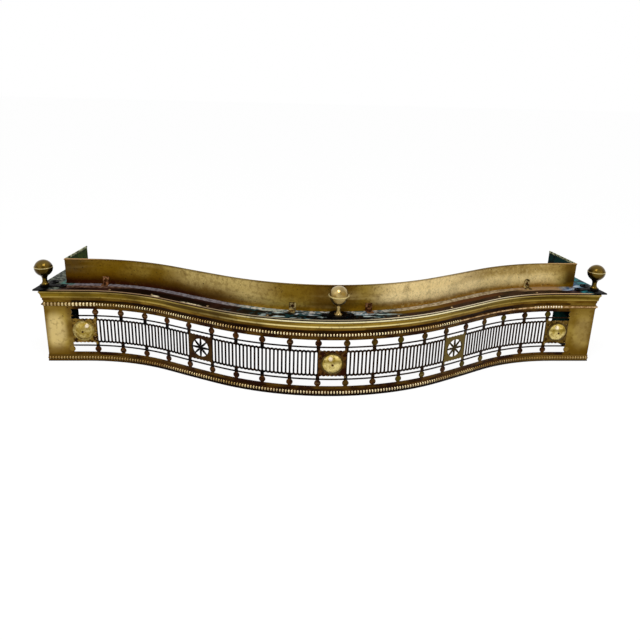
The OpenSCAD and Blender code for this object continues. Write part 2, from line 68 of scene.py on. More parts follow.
fullAngle = plan["bowAngle"] + plan["flankAngle"]
flankShift = plan["flankRadius"] - plan["bowRadius"]
hollowShift = plan["flankRadius"] + plan["hollowRadius"]
bowCentre = Vector((0, frontY + plan["bowRadius"]))
flankCentre = bowCentre + flankShift * heading(90 + plan["bowAngle"])
hollowCentre = flankCentre + hollowShift * heading(fullAngle - 90)
hollowEnd = hollowCentre + Vector((0, plan["hollowRadius"]))
corner = Vector((plan["halfWidth"], hollowEnd.y))
bowStop = math.radians(plan["bowAngle"]) * plan["bowRadius"]
flankStop = bowStop + math.radians(plan["flankAngle"]) * plan["flankRadius"]
hollowStop = flankStop + math.radians(fullAngle) * plan["hollowRadius"]
halfLength = hollowStop + corner.x - hollowEnd.x
bay = 2 * (halfLength - plan["plainEnd"]) / plan["bayCount"]


# Point at a distance along the front, to the right of its middle, and in front of its face
def frontPoint(along, out=0.0):
    far = abs(along)
    if far <= bowStop:
        angle = far / plan["bowRadius"]
        base = bowCentre
        reach = plan["bowRadius"] + out
    elif far <= flankStop:
        angle = math.radians(plan["bowAngle"]) + (far - bowStop) / plan["flankRadius"]
        base = flankCentre
        reach = plan["flankRadius"] + out
    elif far <= hollowStop:
        angle = (hollowStop - far) / plan["hollowRadius"]
        base = hollowCentre
        reach = out - plan["hollowRadius"]
    else:
        angle = 0
        base = hollowEnd + Vector((far - hollowStop, 0))
        reach = out
    point = base + reach * Vector((math.sin(angle), -math.cos(angle)))
    return Vector((math.copysign(point.x, along), point.y))


# Point on a return, side being -1 on the left and 1 on the right
def returnPoint(side, along, out=0.0):
    lean = math.radians(plan["lean"])
    point = corner + along * Vector((-math.sin(lean), math.cos(lean)))
    point += out * Vector((math.cos(lean), math.sin(lean)))
    return Vector((side * point.x, point.y))


# Distances from the middle plane to the ends of the arcs, to an end boss and to a rosette, and
# half the width of a rosette's plate
bowEnd = frontPoint(bowStop).x
flankEnd = frontPoint(flankStop).x
bossSide = frontPoint(10 * bay).x
rosetteSide = frontPoint(5 * bay).x
rosetteHalf = (frontPoint(5.5 * bay).x - frontPoint(4.5 * bay).x) / 2


def addObject(name, data):
    item = bpy.data.objects.new(name, data)
    bpy.context.collection.objects.link(item)
    return item


# Shader values, with Python's operators
class Value:
    def __init__(self, tree, socket):
        self.tree = tree
        self.socket = socket

    def math(self, operation, *items):
        node = self.tree.nodes.new("ShaderNodeMath")
        node.operation = operation
        for index, item in enumerate(items):
            if isinstance(item, Value):
                self.tree.links.new(item.socket, node.inputs[index])
            else:
                node.inputs[index].default_value = item
        return Value(self.tree, node.outputs[0])

    def __add__(self, other):
        return self.math("ADD", self, other)

    def __radd__(self, other):
        return self.math("ADD", other, self)

    def __sub__(self, other):
        return self.math("SUBTRACT", self, other)

    def __rsub__(self, other):
        return self.math("SUBTRACT", other, self)

    def __mul__(self, other):
        return self.math("MULTIPLY", self, other)

    def __rmul__(self, other):
        return self.math("MULTIPLY", other, self)

    def __truediv__(self, other):
        return self.math("DIVIDE", self, other)

    def __pow__(self, other):
        return self.math("POWER", self, other)

    def __abs__(self):
        return self.math("ABSOLUTE", self)

    def most(self, other):
        return self.math("MAXIMUM", self, other)

    def least(self, other):
        return self.math("MINIMUM", self, other)

    # 0 below low and 1 above high, and smooth between them. Fall is the reverse, and within
    # rises at low and falls at high.
    def rise(self, low, high):
        node = self.tree.nodes.new("ShaderNodeMapRange")
        node.interpolation_type = "SMOOTHSTEP"
        self.tree.links.new(self.socket, node.inputs["Value"])
        node.inputs["From Min"].default_value = low
        node.inputs["From Max"].default_value = high
        return Value(self.tree, node.outputs["Result"])

    def fall(self, low, high):
        return 1 - self.rise(low, high)

    def within(self, low, high, soft):
        return self.rise(low - soft, low + soft) * self.fall(high - soft, high + soft)


# A colour as a picture editor shows it, made linear
def tint(red, green, blue):
    return tuple((part / 255) ** 2.2 for part in (red, green, blue)) + (1.0,)


# One material, built node by node on Object coordinates
class Finish:
    def __init__(self, name):
        self.material = bpy.data.materials.new(name)
        self.material.use_nodes = True
        self.tree = self.material.node_tree
        self.tree.nodes.clear()
        coordinates = self.node("ShaderNodeTexCoord")
        self.place = coordinates.outputs["Object"]
        self.x, self.y, self.z = self.split(self.place)
        self.facingX, self.facingY, self.facingZ = self.split(coordinates.outputs["Normal"])
        self.side = abs(self.x)  # distance from the middle plane

    def node(self, kind, settings=None, sockets=None):
        node = self.tree.nodes.new(kind)
        for name, setting in (settings or {}).items():
            setattr(node, name, setting)
        for name, item in (sockets or {}).items():
            if isinstance(item, Value):
                item = item.socket
            if isinstance(item, bpy.types.NodeSocket):
                self.tree.links.new(item, node.inputs[name])
            else:
                node.inputs[name].default_value = item
        return node

    def split(self, vector):
        node = self.node("ShaderNodeSeparateXYZ", sockets={"Vector": vector})
        return [Value(self.tree, output) for output in node.outputs]

    def noise(self, scale, detail=3.0, stretch=(1, 1, 1), shift=0.0):
        mapping = self.node("ShaderNodeMapping", sockets={
            "Vector": self.place, "Scale": stretch, "Location": (shift, shift, shift)})
        node = self.node("ShaderNodeTexNoise", sockets={
            "Vector": mapping.outputs["Vector"], "Scale": scale, "Detail": detail})
        return Value(self.tree, node.outputs[0])

    def specks(self, scale, size):
        node = self.node("ShaderNodeTexVoronoi", sockets={"Vector": self.place, "Scale": scale})
        return Value(self.tree, node.outputs["Distance"]).fall(size * 0.5, size)

    # A Mix node has its colours in sockets 6 and 7 and gives one in output 2
    def blend(self, share, first, second):
        node = self.node("ShaderNodeMix", {"data_type": "RGBA"}, {0: share, 6: first, 7: second})
        return node.outputs[2]

    def bump(self, height, distance):
        node = self.node("ShaderNodeBump", sockets={"Height": height, "Distance": distance})
        return node.outputs["Normal"]

    def done(self, colour, roughness, metallic=0.7, normal=None, gloss=0.1):
        sockets = {"Base Color": colour, "Roughness": roughness, "Metallic": metallic,
                   "Specular IOR Level": gloss}
        if normal:
            sockets["Normal"] = normal
        shader = self.node("ShaderNodeBsdfPrincipled", sockets=sockets)
        self.node("ShaderNodeOutputMaterial", sockets={"Surface": shader.outputs["BSDF"]})
        return self.material

    # Distance in front of the panel's face, anywhere over the plan
    def reachOut(self):
        def awayFrom(centre):
            return ((self.side - centre.x) ** 2 + (self.y - centre.y) ** 2) ** 0.5
        bow = awayFrom(bowCentre) - plan["bowRadius"]
        flank = awayFrom(flankCentre) - plan["flankRadius"]
        hollow = plan["hollowRadius"] - awayFrom(hollowCentre)
        straight = corner.y - self.y
        lean = math.radians(plan["lean"])
        beside = (self.side - corner.x) * math.cos(lean) + (self.y - corner.y) * math.sin(lean)
        soft = 0.002
        onFlank = self.side.rise(bowEnd - soft, bowEnd + soft)
        onHollow = self.side.rise(flankEnd - soft, flankEnd + soft)
        onEnd = self.side.rise(hollowEnd.x - soft, hollowEnd.x + soft)
        front = bow * (1 - onFlank) + flank * onFlank * (1 - onHollow)
        front = front + hollow * onHollow * (1 - onEnd) + straight * onEnd
        return front.most(beside * onEnd - (1 - onEnd))


# In the finishes, the numbers given to rise, fall and within are metres in the part's frame, or
# levels of a noise from 0 to 1. What a mask is multiplied by is how much of the tone it lays.

# Edges on the panel where its finish changes. Each pair is where a mask starts and ends.
panelMarks = {
    "glowMiddle": (0.590, 0.070),  # of a plain end's bright patch, from the middle plane and in z
    "glowReach": (0.024, 0.044),
    # height where the painted shadow between the upper strip and the cornice starts
    "topStrip": (0.1366, 0.1374),
    "fretEdge": (0.018, 0.024),  # past the middle of an end boss
    "plateHeight": (0.031, 0.033),  # of the solid plates in the fret, from its middle
    "barHeight": (0.0365, 0.0375),  # of the slots and the rails beside them
    "middlePlate": (0.027, 0.029),
    "endPlate": (-0.029, 0.023, 0.002),  # from the middle of an end boss, with the softness
    "rosette": (0.0190, 0.0196),
    "beading": (0.0255, 0.032, 0.0008),
    "grooveShade": (0.0198, 0.0212, 0.0004),  # radii of the painted shade round a boss
    "rim": (0.0216, 0.0230, 0.0004),
}


def panelFinish():
    marks = panelMarks
    finish = Finish("panelBrass")
    cloud = finish.noise(26, 4)
    fine = finish.noise(120, 3)
    coarse = finish.noise(11, 2)
    streak = finish.noise(30, 3, (0.3, 0.3, 1.6))
    pits = finish.specks(95, 0.16) * finish.noise(40, 1, shift=2).rise(0.46, 0.6)
    height = abs(finish.z - plan["fretMiddle"])
    rightEnd = finish.x.rise(-0.1, 0.1)
    # plain ends: bright in the middle, brown towards their edges
    gold = finish.blend(cloud.rise(0.36, 0.66), tint(116, 90, 28), tint(164, 138, 64))
    (middle, level), (reachAcross, reachUp) = marks["glowMiddle"], marks["glowReach"]
    glow = ((finish.side - middle) / reachAcross) ** 2 + ((finish.z - level) / reachUp) ** 2
    glow = glow.fall(0.1, 1.5) * (coarse * 0.5 + 0.6)
    gold = finish.blend(glow * (1 - rightEnd * 0.75), gold, tint(222, 197, 132))
    gold = finish.blend(finish.z.rise(0.098, 0.124) * 0.6, gold, tint(98, 72, 14))
    gold = finish.blend(finish.z.fall(0.020, 0.048) * 0.9, gold, tint(94, 66, 6))
    ragged = finish.side.fall(0.556, 0.572) * (0.7 - rightEnd * 0.5)
    gold = finish.blend(ragged, gold, tint(78, 52, 16))
    gold = finish.blend(finish.side.rise(0.598, 0.609) * 0.55, gold, tint(86, 60, 12))
    gold = finish.blend(streak.rise(0.5, 0.8) * 0.2, gold, tint(198, 170, 98))
    gold = finish.blend(fine.rise(0.52, 0.72) * 0.4, gold, tint(98, 70, 16))
    gold = finish.blend(rightEnd * 0.2, gold, tint(92, 70, 14))
    # pierced part
    brown = finish.blend(cloud.rise(0.4, 0.6), tint(40, 20, 5), tint(78, 54, 14))
    # painted shadow in the gap between the upper strip and the cornice
    gapShadow = finish.z.rise(*marks["topStrip"]) * finish.x.fall(0.38, 0.48)
    brown = finish.blend(gapShadow * 0.8, brown, tint(20, 10, 3))
    bars = finish.blend(fine.rise(0.4, 0.7), tint(8, 5, 3), tint(38, 22, 8))
    bars = finish.blend(rightEnd * 0.5, bars, tint(44, 28, 8))
    chased = finish.blend(fine.rise(0.42, 0.56), tint(48, 30, 8), tint(118, 92, 38))
    chased = finish.blend(finish.specks(170, 0.3).rise(0.3, 0.8) * 0.6, chased, tint(170, 142, 98))
    chased = finish.blend(finish.x.rise(0.3, 0.4) * 0.5, chased, tint(58, 42, 12))
    maroon = finish.blend(fine.rise(0.5, 0.62), tint(44, 18, 6), tint(76, 44, 16))
    chased = finish.blend(finish.side.fall(0.05, 0.06) * 0.85, chased, maroon)
    beading = finish.specks(210, 0.36).rise(0.3, 0.8) * height.within(*marks["beading"])
    chased = finish.blend(beading * 0.8, chased, tint(168, 140, 84))
    leaves = finish.blend(cloud.rise(0.4, 0.6), tint(42, 22, 8), tint(66, 46, 18))
    leaves = finish.blend(rightEnd * 0.6, leaves, tint(112, 96, 46))
    spokes = (finish.side - rosetteSide) ** 2 + (finish.z - plan["fretMiddle"]) ** 2
    spokes = (spokes ** 0.5).fall(*marks["rosette"])
    spokeTone = finish.blend(rightEnd, tint(18, 11, 5), tint(52, 42, 14))
    pastBoss = finish.side - bossSide
    fret = pastBoss.fall(*marks["fretEdge"])
    onBoss = pastBoss.within(*marks["endPlate"]).most(finish.side.fall(*marks["middlePlate"]))
    onBoss = onBoss * height.fall(*marks["plateHeight"])
    onRosette = (finish.side - rosetteSide).within(-rosetteHalf, rosetteHalf, 0.001)
    onRosette = onRosette * height.fall(*marks["plateHeight"])
    colour = finish.blend(fret, gold, brown)
    colour = finish.blend(fret * height.fall(*marks["barHeight"]), colour, bars)
    colour = finish.blend(onRosette, colour, leaves)
    colour = finish.blend(onRosette * spokes, colour, spokeTone)
    colour = finish.blend(onBoss, colour, chased)
    # a rim is struck round each boss, and painted shade darkens the groove inside it
    across = finish.side - finish.side.rise(0.2, 0.3) * bossSide
    fromBoss = (across ** 2 + (finish.z - plan["fretMiddle"]) ** 2) ** 0.5
    grooveShade = fromBoss.within(*marks["grooveShade"]) * onBoss
    colour = finish.blend(grooveShade * 0.9, colour, tint(22, 11, 4))
    rimTone = finish.blend(finish.side.fall(0.05, 0.06), tint(156, 126, 88), tint(70, 40, 12))
    colour = finish.blend(fromBoss.within(*marks["rim"]) * onBoss * 0.7, colour, rimTone)
    colour = finish.blend(pits, colour, tint(36, 22, 8))
    inner = finish.facingY.rise(0.3, 0.6)
    colour = finish.blend(inner * 0.8, colour, tint(34, 22, 12))
    roughness = 0.32 + cloud * 0.14 + pits * 0.2
    relief = cloud * 0.5 + fine * 0.25 - pits * 0.5 + onBoss * fine * 0.8
    return finish.done(colour, roughness, 0.75, finish.bump(relief, 0.0006))


def returnFinish():
    finish = Finish("returnBrass")
    cloud = finish.noise(24, 4)
    fine = finish.noise(110, 3)
    gold = finish.blend(cloud.rise(0.36, 0.66), tint(98, 74, 20), tint(146, 120, 52))
    gold = finish.blend(fine.rise(0.55, 0.75) * 0.35, gold, tint(90, 64, 18))
    dull = finish.blend(cloud.rise(0.44, 0.6), tint(6, 9, 10), tint(16, 44, 40))
    dull = finish.blend(finish.x.fall(-0.1, 0.1) * 0.85, dull, tint(14, 11, 8))
    outward = (finish.facingX * finish.x).rise(-0.05, 0.05)
    colour = finish.blend(outward, dull, gold)
    roughness = 0.38 + cloud * 0.16 + (1 - outward) * 0.25
    relief = finish.bump(cloud + fine * 0.3, 0.0006)
    return finish.done(colour, roughness, outward * 0.7, relief, 0.0)


# Rows of the cornice, as distances below the plate. The darkest row at the top is a painted shadow
# under the plate, the hollow row painted shade under the fillet, and the fillet and belly rows
# painted highlights.
corniceRows = {
    "cap": (0.0026, 0.0030),
    "fillet": (0.0029, 0.0055, 0.0002),
    "hollow": (0.0054, 0.0070, 0.0005),
    "belly": (0.0138, 0.0166, 0.0005),
    "neck": (0.0168, 0.0176),
    "foot": (0.0218, 0.0226),
}


def corniceFinish():
    rows = corniceRows
    finish = Finish("corniceBrass")
    streak = finish.noise(60, 4, (0.12, 0.12, 2.2))
    cloud = finish.noise(22, 3)
    fine = finish.noise(150, 3)
    middle = finish.side.fall(0.08, 0.30)
    drop = plateUnder - finish.z
    olive = finish.blend(streak.rise(0.38, 0.62), tint(72, 55, 8), tint(126, 104, 32))
    olive = finish.blend(finish.x.fall(-0.46, -0.38) * 0.6, olive, tint(138, 112, 34))
    olive = finish.blend(middle * streak.rise(0.3, 0.6) * 0.6, olive, tint(164, 132, 54))
    bright = finish.blend(streak.rise(0.3, 0.7), tint(126, 104, 42), tint(184, 160, 94))
    lit = finish.x.rise(-0.26, -0.08) * finish.x.fall(0.26, 0.44)
    bright = finish.blend(lit * 0.9, bright, tint(255, 244, 194))
    belly = finish.blend(streak.rise(0.3, 0.7), tint(112, 90, 28), tint(172, 146, 76))
    belly = finish.blend(finish.x.within(-0.29, -0.21, 0.02) * 0.75, belly, tint(78, 58, 14))
    belly = finish.blend(middle * 0.85, belly, tint(246, 226, 156))
    brown = finish.blend(cloud.rise(0.4, 0.6), tint(46, 24, 8), tint(88, 56, 18))
    gold = finish.blend(cloud.rise(0.4, 0.6), tint(92, 66, 18), tint(122, 96, 36))
    brown = finish.blend(finish.side.rise(0.42, 0.54) * 0.6, brown, gold)
    # painted shade, highlights and shadow over the rows
    colour = finish.blend(drop.within(*rows["hollow"]) * 0.7, olive, tint(42, 28, 3))
    colour = finish.blend(drop.within(*rows["belly"]), colour, belly)
    colour = finish.blend(drop.rise(*rows["neck"]), colour, gold)
    colour = finish.blend(drop.rise(*rows["foot"]), colour, brown)
    colour = finish.blend(drop.within(*rows["fillet"]), colour, bright)
    colour = finish.blend(drop.fall(*rows["cap"]), colour, tint(12, 7, 2))
    tarnish = finish.noise(11, 3, shift=4).rise(0.46, 0.6) * finish.x.fall(-0.16, -0.06)
    colour = finish.blend(tarnish * 0.45, colour, tint(54, 38, 10))
    colour = finish.blend(fine.rise(0.56, 0.74) * 0.5, colour, tint(58, 40, 8))
    roughness = 0.28 + cloud * 0.2
    return finish.done(colour, roughness, 0.85, finish.bump(streak + fine * 0.3, 0.0003))


# Heights on the strips
stripMarks = {
    # height of the bottom edge, painted black as the shadow under the moulding
    "edge": (0.0012, 0.0020),
    "foot": (0.0038, 0.0042),
    "rod": (0.1314, 0.1342, 0.0006),
}


def stripFinish():
    marks = stripMarks
    finish = Finish("stripBrass")
    cloud = finish.noise(30, 3)
    fine = finish.noise(140, 2)
    leftEnd = (finish.x * -1).rise(0.36, 0.50)
    dark = finish.blend(cloud.rise(0.4, 0.6), tint(38, 20, 6), tint(76, 48, 14))
    dark = finish.blend(leftEnd * 0.75, dark, tint(98, 74, 26))
    dark = finish.blend(finish.x.rise(0.40, 0.50) * 0.8, dark, tint(116, 90, 40))
    worn = finish.blend(fine.rise(0.4, 0.6), tint(134, 98, 58), tint(204, 170, 124))
    foot = finish.z.fall(*marks["foot"])
    footTone = finish.blend(leftEnd * 0.6, tint(30, 16, 4), tint(104, 72, 24))
    footTone = finish.blend(finish.x.rise(0.35, 0.50) * 0.7, footTone, tint(108, 82, 36))
    # painted shadow along the bottom edge
    footTone = finish.blend(finish.z.fall(*marks["edge"]), footTone, tint(14, 7, 2))
    # the rod shows where its beads have gone
    wornAndSheen = finish.x.rise(rosetteSide, rosetteSide + 0.010) * finish.z.within(*marks["rod"])
    colour = finish.blend(wornAndSheen, dark, worn)
    colour = finish.blend(foot, colour, footTone)
    return finish.done(colour, 0.36 + cloud * 0.16, 0.75, finish.bump(cloud + fine * 0.3, 0.0004))


def beadFinish():
    finish = Finish("beadBrass")
    cloud = finish.noise(14, 3)
    fine = finish.noise(90, 2)
    worn = finish.blend(cloud.rise(0.42, 0.58), tint(186, 154, 94), tint(240, 222, 168))
    pale = finish.x.within(-0.555, -0.47, 0.014).most(finish.side.fall(0.02, 0.2))
    worn = finish.blend(pale * 0.6, worn, tint(250, 236, 190))
    worn = finish.blend(finish.x.fall(-0.585, -0.550) * 0.75, worn, tint(126, 92, 40))
    worn = finish.blend(finish.x.rise(0.46, 0.48) * 0.9, worn, tint(255, 244, 216))
    low = finish.blend(cloud.rise(0.4, 0.58), tint(150, 122, 68), tint(214, 190, 134))
    low = finish.blend(finish.x.within(-0.12, 0.22, 0.08) * 0.6, low, tint(236, 220, 180))
    low = finish.blend(finish.side.rise(0.26, 0.40) * 0.6, low, tint(136, 106, 60))
    colour = finish.blend(finish.z.rise(0.03, 0.1), low, worn)
    colour = finish.blend(fine.rise(0.55, 0.7) * 0.3, colour, tint(92, 62, 24))
    return finish.done(colour, 0.26 + cloud * 0.12, 0.7)


# Heights above the plate of the upstand's rim and of the pale hem on its returns
upstandRim = (0.0535, 0.0550)
returnHem = (0.0505, 0.0520)


def upstandFinish():
    finish = Finish("upstandBrass")
    cloud = finish.noise(15, 4, (1, 1, 1.4))
    blotch = finish.noise(42, 4, shift=6)
    mottle = finish.noise(130, 5)
    fine = finish.noise(320, 4)
    wipe = finish.noise(34, 3, (0.2, 0.2, 1.8))
    pits = finish.specks(150, 0.2) * finish.noise(30, 3, shift=5).rise(0.48, 0.58)
    left = (finish.x * -1).rise(0.14, 0.30)
    gold = finish.blend(cloud.rise(0.36, 0.62), tint(118, 92, 28), tint(152, 128, 60))
    gold = finish.blend(finish.x.within(-0.32, -0.13, 0.04) * 0.75, gold, tint(192, 168, 106))
    gold = finish.blend(finish.x.within(0.10, 0.34, 0.04) * 0.9, gold, tint(240, 212, 150))
    gold = finish.blend(finish.x.within(0.34, 0.530, 0.03) * 0.75, gold, tint(216, 186, 116))
    gold = finish.blend(finish.x.fall(-0.47, -0.30) * 0.85, gold, tint(106, 78, 10))
    gold = finish.blend(finish.x.within(-0.045, 0.050, 0.018) * 0.85, gold, tint(88, 62, 17))
    gold = finish.blend(finish.x.fall(-0.565, -0.48) * 0.9, gold, tint(58, 36, 4))
    gold = finish.blend(finish.x.rise(0.530, 0.556) * 0.9, gold, tint(56, 36, 6))
    wiped = wipe.rise(0.48, 0.75) * (0.3 - left * 0.2) * finish.x.fall(0.49, 0.53)
    gold = finish.blend(wiped, gold, tint(222, 198, 130))
    gold = finish.blend(blotch.rise(0.54, 0.66) * 0.35, gold, tint(96, 70, 16))
    # brown rises from the foot, higher on the left
    height = finish.z - plateTop + (cloud - 0.5) * 0.016 + (wipe - 0.5) * 0.008
    bright = height.within(0.012, 0.032, 0.007) * finish.x.within(0.10, 0.515, 0.03)
    gold = finish.blend(bright * 0.4, gold, tint(255, 232, 172))
    shaded = height.rise(0.026, 0.044) * finish.x.within(0.28, 0.62, 0.04)
    gold = finish.blend(shaded * 0.5, gold, tint(116, 88, 34))
    gold = finish.blend(height.fall(0.007, 0.018) * finish.x.within(0.05, 0.36, 0.02) * 0.6,
                        gold, tint(84, 56, 8))
    gold = finish.blend(height.fall(0.016, 0.042) * finish.x.within(-0.36, -0.19, 0.03) * 0.5,
                        gold, tint(84, 56, 6))
    low = height.fall(0.014, 0.034) * left + height.fall(0.004, 0.014) * (1 - left)
    colour = finish.blend(low * 0.85, gold, finish.blend(left, tint(134, 96, 20), tint(92, 62, 2)))
    colour = finish.blend(height.fall(0.004, 0.020) * left * 0.9, colour, tint(52, 14, 2))
    clean = finish.x.within(0.12, 0.51, 0.03)
    colour = finish.blend(mottle.rise(0.5, 0.64) * (0.35 - clean * 0.2), colour, tint(84, 58, 8))
    colour = finish.blend(mottle.fall(0.36, 0.46) * clean * 0.2, colour, tint(240, 216, 152))
    colour = finish.blend(fine.rise(0.5, 0.66) * 0.25, colour, tint(70, 48, 8))
    colour = finish.blend(pits * 0.85, colour, tint(44, 28, 6))
    rim = (finish.z - plateTop).rise(*upstandRim)
    rimTone = finish.blend(finish.side.rise(0.46, 0.53), tint(72, 54, 18), tint(176, 138, 92))
    colour = finish.blend(rim * 0.75, colour, rimTone)
    behind = finish.facingY.rise(0.3, 0.6)
    colour = finish.blend(behind * 0.6, colour, tint(70, 50, 24))
    relief = cloud * 1.5 + mottle * 0.3 + fine * 0.2 - pits
    return finish.done(colour, 0.3 + cloud * 0.14, 0.6, finish.bump(relief, 0.0007), 0.05)


def upstandReturnFinish():
    finish = Finish("upstandReturnBrass")
    cloud = finish.noise(40, 4)
    green = finish.blend(cloud.rise(0.38, 0.62), tint(24, 38, 2), tint(52, 66, 14))
    teal = finish.blend(cloud.rise(0.42, 0.62), tint(3, 9, 8), tint(14, 44, 42))
    inner = finish.blend(finish.x.rise(-0.1, 0.1), green, teal)
    outer = finish.blend(cloud.rise(0.4, 0.6), tint(104, 78, 26), tint(146, 118, 54))
    outward = (finish.facingX * finish.x).rise(-0.05, 0.05)
    colour = finish.blend(outward, inner, outer)
    hem = (finish.z - plateTop).rise(*returnHem)
    pale = finish.blend(finish.noise(160, 3).rise(0.4, 0.6), tint(58, 58, 30), tint(184, 186, 150))
    colour = finish.blend(hem * 0.85, colour, pale)
    return finish.done(colour, 0.5, outward * 0.6, finish.bump(cloud, 0.0006), 0.02)


# Patches on the plate, as low and high ends with their softness: first in x, then as distances
# in front of the panel's face
platePatches = {
    "upstandReflection": ((0.12, 0.38, 0.03), (-0.032, -0.006, 0.003)),
    "foldSheen": ((0.44, 0.56, 0.02), (-0.036, -0.012, 0.003)),
    "verdigris": ((-0.586, -0.545, 0.010), (-0.046, -0.024, 0.004)),
    "azure": ((0.535, 0.585, 0.012), (-0.05, -0.010, 0.006)),
}
plateMarks = {
    "fold": (-0.044, -0.0215, 0.0015),  # pale strip of painted reflection, as distances in front of the panel's face
    "middleFold": (-0.044, -0.023, 0.003),
    "edge": (0.0086, 0.0092),
    "foldEnd": (0.556, 0.566),  # from the middle plane
    "cornerStart": (0.566, 0.578),
    "tipStart": (0.586, 0.598),
    "edgeHighlight": (0.0011, 0.0015),  # above the underside, where the painted highlight on the front edge starts
}


def plateFinish():
    marks = plateMarks
    finish = Finish("plateIron")
    cloud = finish.noise(30, 4)
    fine = finish.noise(130, 4)
    stain = finish.noise(60, 4, shift=7)
    glints = finish.noise(85, 4, (0.35, 1, 1), shift=3)
    out = finish.reachOut()
    wavy = out + (cloud - 0.5) * 0.012

    def patch(name):
        along, across = platePatches[name]
        return finish.x.within(*along) * wavy.within(*across)

    dark = finish.blend(cloud.rise(0.35, 0.65), tint(18, 8, 8), tint(52, 32, 26))
    warm = finish.blend(fine.rise(0.4, 0.62), tint(70, 48, 36), tint(126, 98, 82))
    leftEnd = finish.x.fall(-0.46, -0.40)
    colour = finish.blend(leftEnd * wavy.within(-0.030, -0.008, 0.003) * 0.85, dark, warm)
    # painted reflection of the brass upstand in the plate before it
    ochreTone = finish.blend(finish.x.rise(0.18, 0.28), tint(104, 78, 18), tint(80, 46, 24))
    colour = finish.blend(patch("upstandReflection") * 0.9, colour, ochreTone)
    shade = finish.x.within(-0.455, -0.24, 0.02) * wavy.rise(-0.016, -0.010)
    colour = finish.blend(shade * 0.9, colour, tint(14, 8, 7))
    # painted reflection: a pale band along the fold beside the upstand
    pale = finish.blend(fine.rise(0.38, 0.64), tint(138, 132, 140), tint(190, 186, 196))
    brassy = finish.blend(fine.rise(0.38, 0.64), tint(166, 150, 116), tint(232, 222, 194))
    pale = finish.blend(finish.x.rise(0.06, 0.12) * 0.9, pale, brassy)
    pale = finish.blend(finish.x.rise(0.36, 0.42) * 0.6, pale, tint(176, 146, 118))
    crisp = out + (cloud - 0.5) * 0.006
    wornAndSheen = crisp.within(*marks["fold"]) * finish.side.fall(*marks["foldEnd"])
    wornAndSheen = wornAndSheen * (fine * 0.6 + 0.6).least(1)
    colour = finish.blend(wornAndSheen * 0.9, colour, pale)
    # more of the painted reflection on the fold near the right end
    colour = finish.blend(patch("foldSheen") * 0.7, colour, tint(178, 146, 108))
    # two pale streaks on the front edge
    worn = finish.x.within(-0.302, -0.266, 0.008) * out.rise(0.0048, 0.0075)
    worn = worn.most(finish.x.within(-0.370, -0.356, 0.004) * out.rise(0.0020, 0.0060))
    colour = finish.blend(worn * fine.rise(0.3, 0.5), colour, tint(240, 226, 184))
    # blue and verdigris round the middle brackets, with painted glints
    middle = finish.x.within(-0.19, 0.12, 0.04)
    black = finish.blend(stain.rise(0.53, 0.63), tint(6, 9, 10), tint(16, 54, 58))
    colour = finish.blend(middle * 0.92, colour, black)
    fold = middle * wavy.within(*marks["middleFold"])
    ice = finish.blend(fine.rise(0.42, 0.58), tint(96, 130, 142), tint(236, 242, 244))
    colour = finish.blend(fold * glints.rise(0.35, 0.46), colour, ice)
    colour = finish.blend(middle * glints.rise(0.57, 0.63) * 0.8, colour, tint(190, 208, 204))
    frontGlints = finish.side.within(0.035, 0.080, 0.010)
    frontGlints = frontGlints * wavy.fall(-0.016, -0.010) * glints.rise(0.42, 0.52)
    colour = finish.blend(frontGlints * 0.8, colour, ice)
    # corners
    ends = finish.side.rise(*marks["cornerStart"])
    grey = finish.blend(fine.rise(0.42, 0.6), tint(26, 30, 26), tint(112, 118, 104))
    teal = finish.blend(stain.rise(0.40, 0.54), tint(8, 34, 42), tint(40, 124, 130))
    side = finish.blend(finish.x.rise(-0.1, 0.1), grey, teal)
    colour = finish.blend(ends * 0.95, colour, side)
    verdigris = patch("verdigris") * stain.rise(0.46, 0.56)
    colour = finish.blend(verdigris * 0.8, colour, tint(70, 136, 124))
    azure = patch("azure")
    colour = finish.blend(azure * stain.rise(0.34, 0.46), colour, tint(60, 98, 142))
    # painted glints on the azure stain
    colour = finish.blend(azure * glints.rise(0.50, 0.58) * 0.8, colour, tint(206, 222, 232))
    tip = finish.side.rise(*marks["tipStart"]) * out.rise(-0.030, -0.016)
    tip = tip * finish.y.fall(corner.y + 0.030, corner.y + 0.050)
    colour = finish.blend(tip, colour, tint(4, 3, 3))
    edge = out.rise(*marks["edge"]) * finish.facingZ.fall(0.5, 0.8) * (1 - tip)
    colour = finish.blend(edge, colour, tint(30, 20, 12))
    # painted highlight on the upper part of the front edge
    edge = edge * (finish.z - plateUnder).rise(*marks["edgeHighlight"])
    edgeTone = finish.blend(finish.side.fall(0.12, 0.34), tint(162, 132, 100), tint(164, 150, 122))
    edgeTone = finish.blend(finish.x.rise(0.06, 0.12), edgeTone, tint(236, 218, 182))
    edgeTone = finish.blend(finish.x.rise(0.38, 0.48), edgeTone, tint(206, 170, 128))
    colour = finish.blend(edge * 0.85, colour, edgeTone)
    # painted shade on the faces that look down
    undersideShade = finish.facingZ.fall(-0.8, -0.5)
    colour = finish.blend(undersideShade, colour, tint(30, 20, 16))
    metallic = (wornAndSheen + fold + edge).least(1) * 0.6
    relief = finish.bump(cloud + fine * 0.4, 0.0006)
    return finish.done(colour, 0.34 + cloud * 0.2, metallic, relief, 0.03)


def ironFinish():
    finish = Finish("blackIron")
    cloud = finish.noise(60, 4)
    fine = finish.noise(260, 3)
    colour = finish.blend(cloud.rise(0.35, 0.65), tint(3, 3, 3), tint(20, 18, 18))
    chipped = fine.rise(0.60, 0.72)
    colour = finish.blend(chipped * 0.4, colour, tint(76, 76, 78))
    relief = finish.bump(cloud + fine * 0.4, 0.001)
    return finish.done(colour, 0.42 + cloud * 0.2, chipped * 0.3, relief, 0.03)


